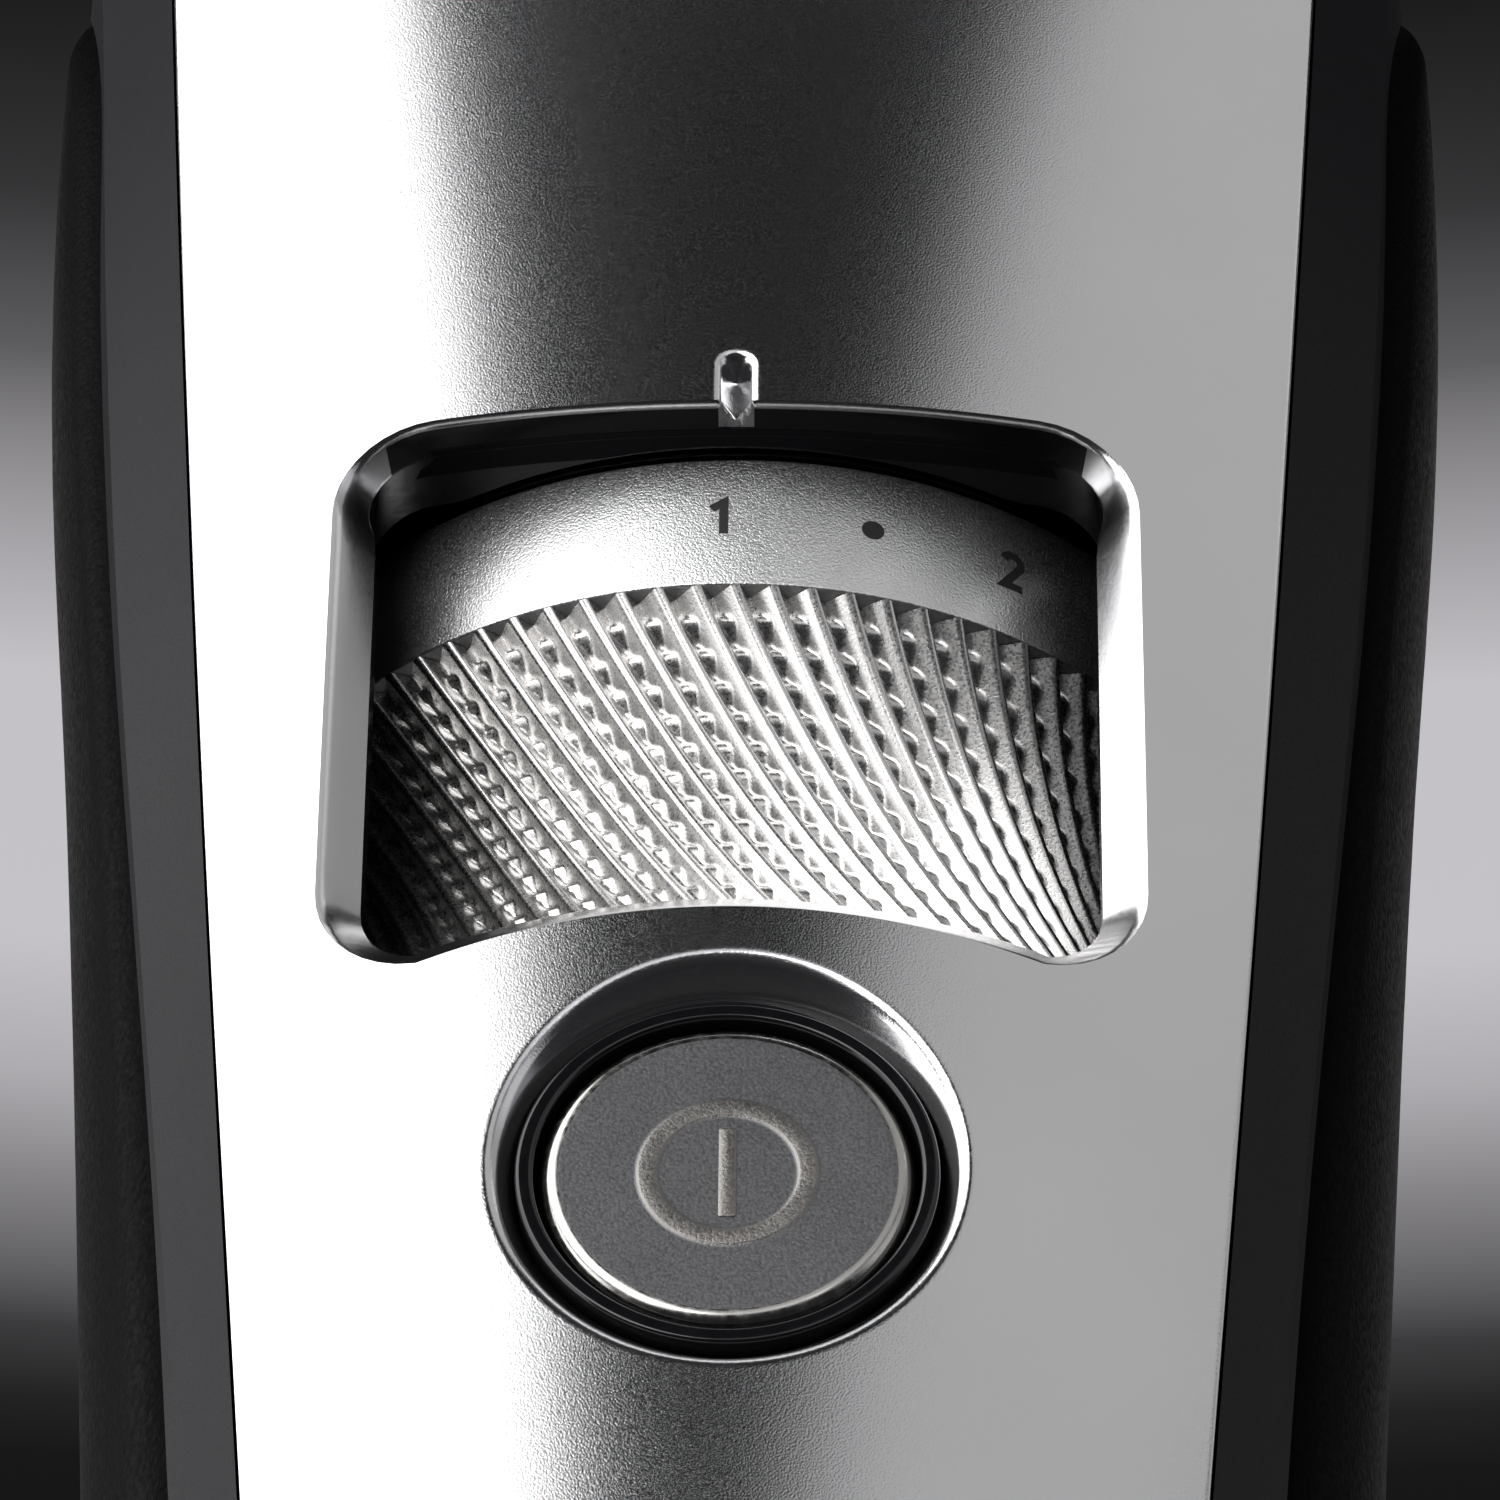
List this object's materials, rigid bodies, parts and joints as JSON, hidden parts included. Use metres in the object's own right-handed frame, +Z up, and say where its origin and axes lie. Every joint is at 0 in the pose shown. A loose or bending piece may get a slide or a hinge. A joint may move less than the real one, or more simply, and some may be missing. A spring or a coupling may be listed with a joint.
{
  "type": "beard trimmer",
  "caption": "Cordless beard trimmer with a thumb dial in a front window that raises the guide comb, a round power button, silver front panel and rubber side grips.",
  "frame": {"origin": "on the flat base face, under the dial's axis", "axes": "+Z up the handle towards the blades, -Y out of the dial side, +X to the right of someone who looks at the dial"},
  "size_m": [0.0536, 0.0422, 0.1794],
  "materials": {
    "dark_satin": "satin dark grey moulding",
    "sand_silver": "fine sand-textured satin silver",
    "bright_silver": "satin plated knurl",
    "grip_rubber": "fine-grained soft rubber",
    "gloss_black": "gloss black",
    "button_metal": "satin dark metal",
    "white_plastic": "natural acetal",
    "black_plastic": "satin black moulding",
    "steel": "ground",
    "dark_iron": "bare",
    "copper": "bare",
    "cell_sleeve": "shrink sleeve",
    "board_green": "solder mask",
    "lamp_lens": "translucent"
  },
  "bodies": {
    "handle": {"front_housing": "dark_satin", "rear_housing": "dark_satin", "front_panel": "sand_silver", "left_grip": "grip_rubber", "right_grip": "grip_rubber", "base_cap": "dark_satin", "base_seal": "grip_rubber", "charge_socket": "gloss_black", "socket_pins": "copper", "charge_lamp": "lamp_lens", "lamp_diode": "white_plastic", "button_bezel": "gloss_black", "button_seal": "grip_rubber", "chassis": "white_plastic", "motor_can": "steel", "motor_end_cap": "white_plastic", "motor_magnets": "dark_iron", "motor_brushes": "copper", "motor_screws": "steel", "battery_cell": "cell_sleeve", "battery_tabs": "steel", "circuit_board": "board_green", "tact_switch": "gloss_black", "dial_seal": "gloss_black", "detent_spring": "steel", "head_seat": "black_plastic", "drive_seal": "grip_rubber", "lever_pin": "steel", "blade_base": "black_plastic", "fixed_blade": "steel", "blade_spring": "steel", "blade_screws": "steel", "case_screws": "steel"},
    "dial": {"dial_grip_ring": "bright_silver", "dial_scale_ring": "sand_silver", "dial_cam_sleeve": "white_plastic"},
    "comb_lifter": {"comb_lifter": "black_plastic"},
    "comb": {"comb_attachment": "black_plastic"},
    "power_button": {"button_cap": "button_metal", "button_stem": "white_plastic"},
    "switch_actuator": {"switch_actuator": "white_plastic"},
    "rotor": {"motor_shaft": "steel", "armature": "dark_iron", "commutator": "copper", "eccentric_cam": "white_plastic"},
    "drive_lever": {"drive_lever": "white_plastic"},
    "cutter": {"cutter_carrier": "white_plastic", "moving_blade": "steel"}
  },
  "joints": [
    {"name": "dial_turn", "type": "hinge", "parent": "handle", "child": "dial", "pos_m": [0, 0, 0.096], "axis": [0, 0, -1], "range_deg": [-17.14, 308.57]},
    {"name": "comb_lift", "type": "slide", "parent": "handle", "child": "comb_lifter", "axis": [0, 0, 1], "range_m": [-0.00051, 0.00901]},
    {"name": "comb_removal", "type": "slide", "parent": "comb_lifter", "child": "comb", "axis": [0, 0, 1], "range_m": [0, 0.035]},
    {"name": "button_press", "type": "slide", "parent": "handle", "child": "power_button", "axis": [0, 1, 0], "range_m": [0, 0.0005], "stiffness_N_per_m": 1500, "springref_m": -0.0004},
    {"name": "switch_press", "type": "slide", "parent": "handle", "child": "switch_actuator", "axis": [0, 1, 0], "range_m": [0, 0.0005]},
    {"name": "rotor_spin", "type": "hinge", "parent": "handle", "child": "rotor", "pos_m": [0, 0, 0.1], "axis": [0, 0, 1], "continuous": true},
    {"name": "lever_swing", "type": "hinge", "parent": "handle", "child": "drive_lever", "pos_m": [0, 0, 0.144], "axis": [0, 1, 0], "range_deg": [-3.7, 3.7]},
    {"name": "cutter_stroke", "type": "slide", "parent": "handle", "child": "cutter", "axis": [1, 0, 0], "range_m": [-0.00101, 0.00101]}
  ],
  "couplings": [
    {"joint": "comb_lift", "follows": "dial_turn", "m_per_rad": 0.0016711},
    {"joint": "switch_press", "follows": "button_press", "ratio": 1},
    {"joint": "cutter_stroke", "follows": "lever_swing", "m_per_rad": 0.0155}
  ]
}
